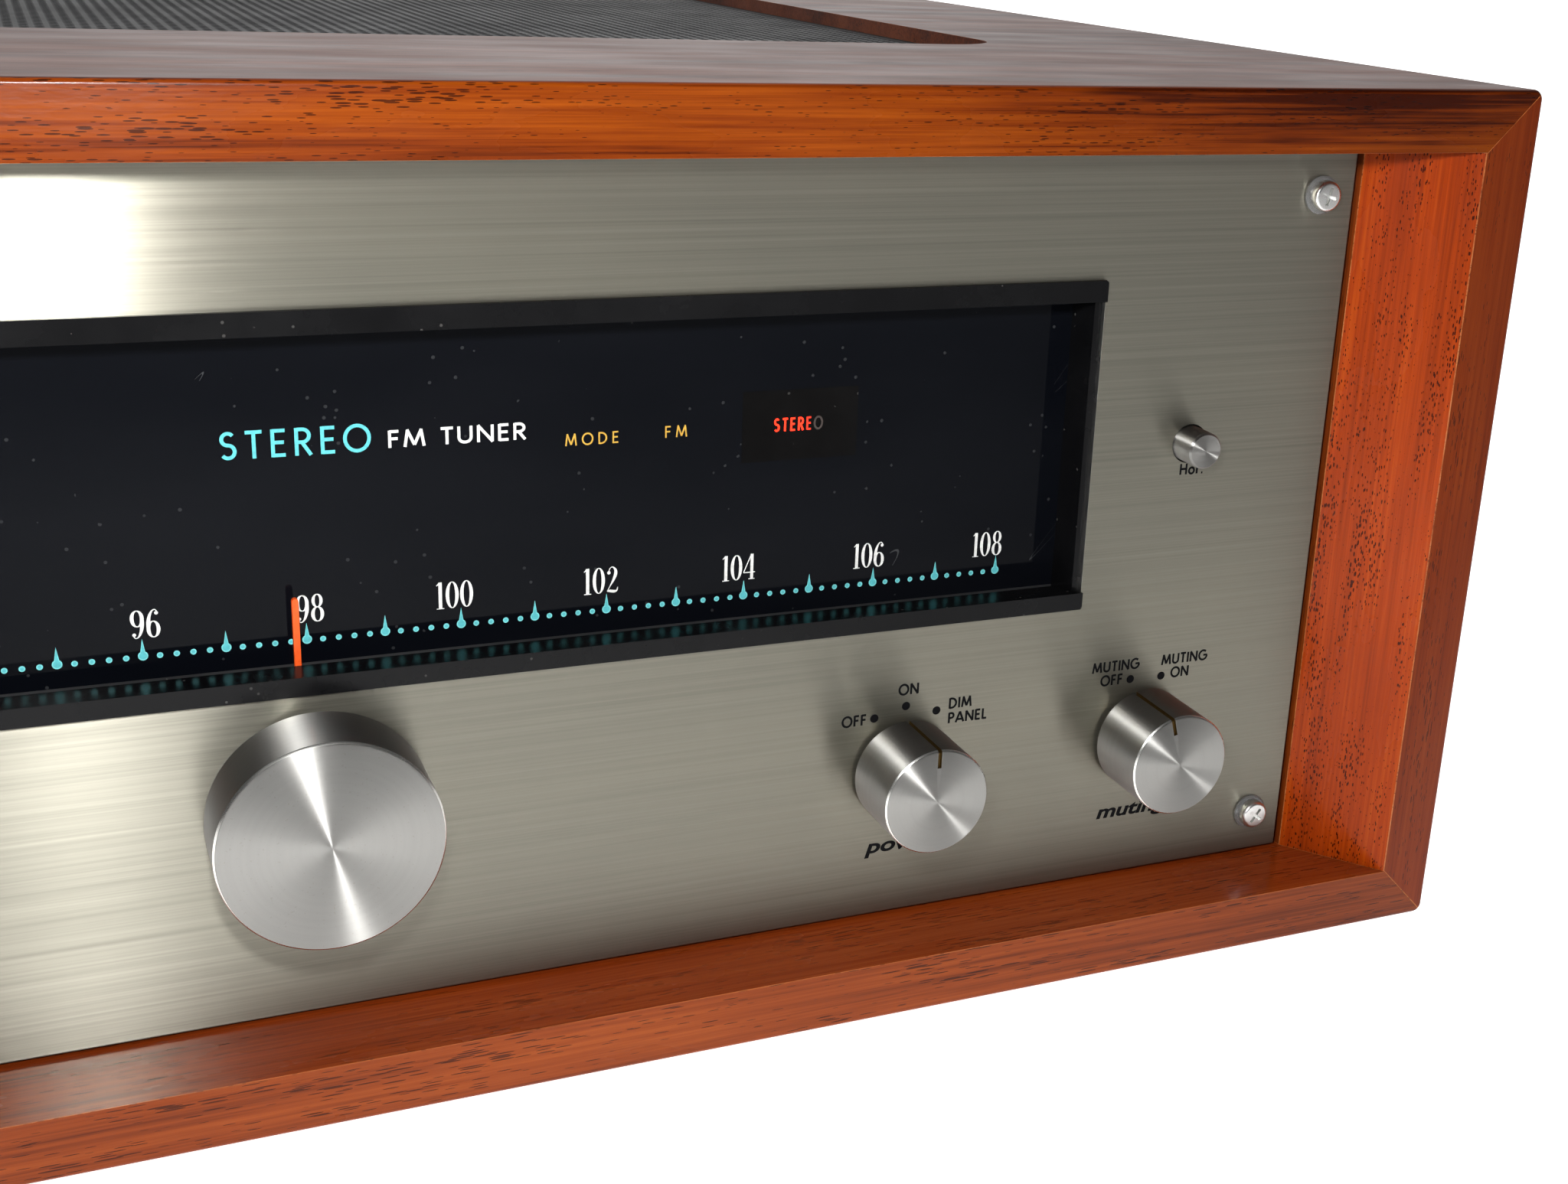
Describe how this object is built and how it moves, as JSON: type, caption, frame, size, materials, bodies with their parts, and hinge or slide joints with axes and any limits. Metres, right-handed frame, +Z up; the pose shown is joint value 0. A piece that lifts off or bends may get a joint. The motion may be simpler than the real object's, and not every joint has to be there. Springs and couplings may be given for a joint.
{
  "type": "stereo fm tuner",
  "caption": "Valve-type stereo FM tuner in a walnut sleeve, with a brushed aluminium panel, long dial, sliding pointer, spun knobs and perforated top vent.",
  "frame": {"origin": "centre of the footprint, on the surface that the feet stand on", "axes": "+Z up, front panel towards -Y, +X to the right seen from the front"},
  "size_m": [0.444, 0.39, 0.1756],
  "materials": {
    "walnut": "satin lacquer",
    "walnut_end": "satin lacquer",
    "black_steel": "satin enamel",
    "zinc_steel": "zinc plated",
    "plated_chassis": "bright plate",
    "champagne_aluminium": "brushed",
    "spun_aluminium": "spun",
    "black_bezel": "gloss",
    "dial_black": "gloss print",
    "red_lens": "gloss",
    "pointer_orange": "satin",
    "clear_plastic": "clear",
    "clear_glass": "clear",
    "brass": "turned",
    "nylon": "moulded",
    "black_plastic": "moulded",
    "brown_board": "laminate",
    "rubber": "moulded",
    "cord": "braided",
    "can_aluminium": "drawn",
    "transformer_black": "enamel",
    "mumetal": "annealed"
  },
  "bodies": {
    "tuner": {"cabinet_top": "walnut", "cabinet_bottom": "walnut", "cabinet_left": "walnut_end", "cabinet_right": "walnut_end", "vent_grille": "black_steel", "wood_screws": "zinc_steel", "feet": "rubber", "chassis_bolts": "zinc_steel", "front_panel": "champagne_aluminium", "panel_screws": "zinc_steel", "panel_washers": "clear_plastic", "side_brackets": "zinc_steel", "dial_bezel": "black_bezel", "dial_glass": "dial_black", "dial_back": "black_steel", "stereo_lens": "red_lens", "dial_lamps": "clear_glass", "sub_panel": "zinc_steel", "tuning_bushing": "brass", "tuning_frame": "zinc_steel", "tuning_stators": "can_aluminium", "pulley_posts": "brass", "pointer_rail": "zinc_steel", "dial_cord": "cord", "rotary_switches": "brown_board", "trim_pots": "black_plastic", "chassis": "plated_chassis", "bottom_cover": "plated_chassis", "power_transformer": "transformer_black", "filter_cans": "can_aluminium", "valves": "clear_glass", "valve_sockets": "brown_board", "if_cans": "can_aluminium", "display_tube": "clear_glass", "tube_shield": "mumetal", "phono_sockets": "plated_chassis", "aerial_terminals": "brown_board", "fuse_holder": "black_plastic", "cord_gland": "rubber"},
    "tuning": {"tuning_knob": "spun_aluminium", "tuning_shaft": "zinc_steel", "flywheel": "zinc_steel"},
    "drum": {"cord_drum": "brass"},
    "rotor": {"rotor_gear": "brass", "tuning_rotor": "can_aluminium"},
    "pointer_slide": {"pointer_carriage": "nylon", "pointer": "pointer_orange"},
    "end_pulley_l": {"end_pulley_left": "nylon"},
    "end_pulley_r": {"end_pulley_right": "nylon"},
    "guide_pulley_l": {"guide_pulley_left": "nylon"},
    "guide_pulley_r": {"guide_pulley_right": "nylon"},
    "guide_pulley_o": {"guide_pulley_outer": "nylon"},
    "power": {"power_knob": "spun_aluminium"},
    "muting": {"muting_knob": "spun_aluminium"},
    "mode": {"mode_knob": "spun_aluminium"},
    "display": {"display_knob": "spun_aluminium"},
    "vertical_trim": {"vertical_knob": "spun_aluminium"},
    "horizontal_trim": {"horizontal_knob": "spun_aluminium"},
    "level_l": {"level_knob_left": "black_plastic"},
    "level_r": {"level_knob_right": "black_plastic"}
  },
  "joints": [
    {"name": "tuning_turn", "type": "hinge", "parent": "tuner", "child": "tuning", "pos_m": [0, -0.1776, 0.0554], "axis": [0, 1, 0], "range_deg": [-1014.29, 1046.81]},
    {"name": "drum_turn", "type": "hinge", "parent": "tuner", "child": "drum", "pos_m": [0.047, -0.1776, 0.0418], "axis": [0, 1, 0], "range_deg": [-368.43, 380.22]},
    {"name": "rotor_turn", "type": "hinge", "parent": "tuner", "child": "rotor", "pos_m": [0.047, -0.1776, 0.08395], "axis": [0, 1, 0], "range_deg": [-89.85, 87.07]},
    {"name": "pointer_travel", "type": "slide", "parent": "tuner", "child": "pointer_slide", "axis": [1, 0, 0], "range_m": [-0.1312, 0.1354]},
    {"name": "end_pulley_left_turn", "type": "hinge", "parent": "tuner", "child": "end_pulley_l", "pos_m": [-0.147, -0.1776, 0.0663], "axis": [0, 1, 0], "range_deg": [-1390.45, 1435.02]},
    {"name": "end_pulley_right_turn", "type": "hinge", "parent": "tuner", "child": "end_pulley_r", "pos_m": [0.147, -0.1776, 0.0663], "axis": [0, 1, 0], "range_deg": [-1390.45, 1435.02]},
    {"name": "guide_pulley_left_turn", "type": "hinge", "parent": "tuner", "child": "guide_pulley_l", "pos_m": [-0.016, -0.1776, 0.0583], "axis": [0, 1, 0], "range_deg": [-1761.04, 1706.35]},
    {"name": "guide_pulley_right_turn", "type": "hinge", "parent": "tuner", "child": "guide_pulley_r", "pos_m": [0.016, -0.1776, 0.0583], "axis": [0, 1, 0], "range_deg": [-1761.04, 1706.35]},
    {"name": "guide_pulley_outer_turn", "type": "hinge", "parent": "tuner", "child": "guide_pulley_o", "pos_m": [0.078, -0.1776, 0.0583], "axis": [0, 1, 0], "range_deg": [-1761.04, 1706.35]},
    {"name": "power_switch", "type": "hinge", "parent": "tuner", "child": "power", "pos_m": [0.1071, -0.1776, 0.0478], "axis": [0, 1, 0], "range_deg": [-30, 30]},
    {"name": "muting_switch", "type": "hinge", "parent": "tuner", "child": "muting", "pos_m": [0.159, -0.1776, 0.0478], "axis": [0, 1, 0], "range_deg": [0, 30]},
    {"name": "mode_switch", "type": "hinge", "parent": "tuner", "child": "mode", "pos_m": [-0.1071, -0.1776, 0.0478], "axis": [0, 1, 0], "range_deg": [0, 60]},
    {"name": "display_switch", "type": "hinge", "parent": "tuner", "child": "display", "pos_m": [-0.159, -0.1776, 0.0478], "axis": [0, 1, 0], "range_deg": [-45, 45]},
    {"name": "vertical_trim_turn", "type": "hinge", "parent": "tuner", "child": "vertical_trim", "pos_m": [-0.164, -0.1776, 0.1076], "axis": [0, 1, 0], "range_deg": [-150, 150]},
    {"name": "horizontal_trim_turn", "type": "hinge", "parent": "tuner", "child": "horizontal_trim", "pos_m": [0.164, -0.1776, 0.1076], "axis": [0, 1, 0], "range_deg": [-150, 150]},
    {"name": "level_left_turn", "type": "hinge", "parent": "tuner", "child": "level_l", "pos_m": [-0.088, 0.1944, 0.0408], "axis": [0, 1, 0], "range_deg": [-150, 150]},
    {"name": "level_right_turn", "type": "hinge", "parent": "tuner", "child": "level_r", "pos_m": [-0.052, 0.1944, 0.0408], "axis": [0, 1, 0], "range_deg": [-150, 150]}
  ],
  "couplings": [
    {"joint": "drum_turn", "follows": "tuning_turn", "ratio": 0.36275},
    {"joint": "rotor_turn", "follows": "tuning_turn", "ratio": -0.085352},
    {"joint": "pointer_travel", "follows": "tuning_turn", "m_per_rad": 0.0074},
    {"joint": "end_pulley_left_turn", "follows": "tuning_turn", "ratio": 1.3704},
    {"joint": "end_pulley_right_turn", "follows": "tuning_turn", "ratio": 1.3704},
    {"joint": "guide_pulley_left_turn", "follows": "tuning_turn", "ratio": -1.6818},
    {"joint": "guide_pulley_right_turn", "follows": "tuning_turn", "ratio": -1.6818},
    {"joint": "guide_pulley_outer_turn", "follows": "tuning_turn", "ratio": -1.6818}
  ]
}
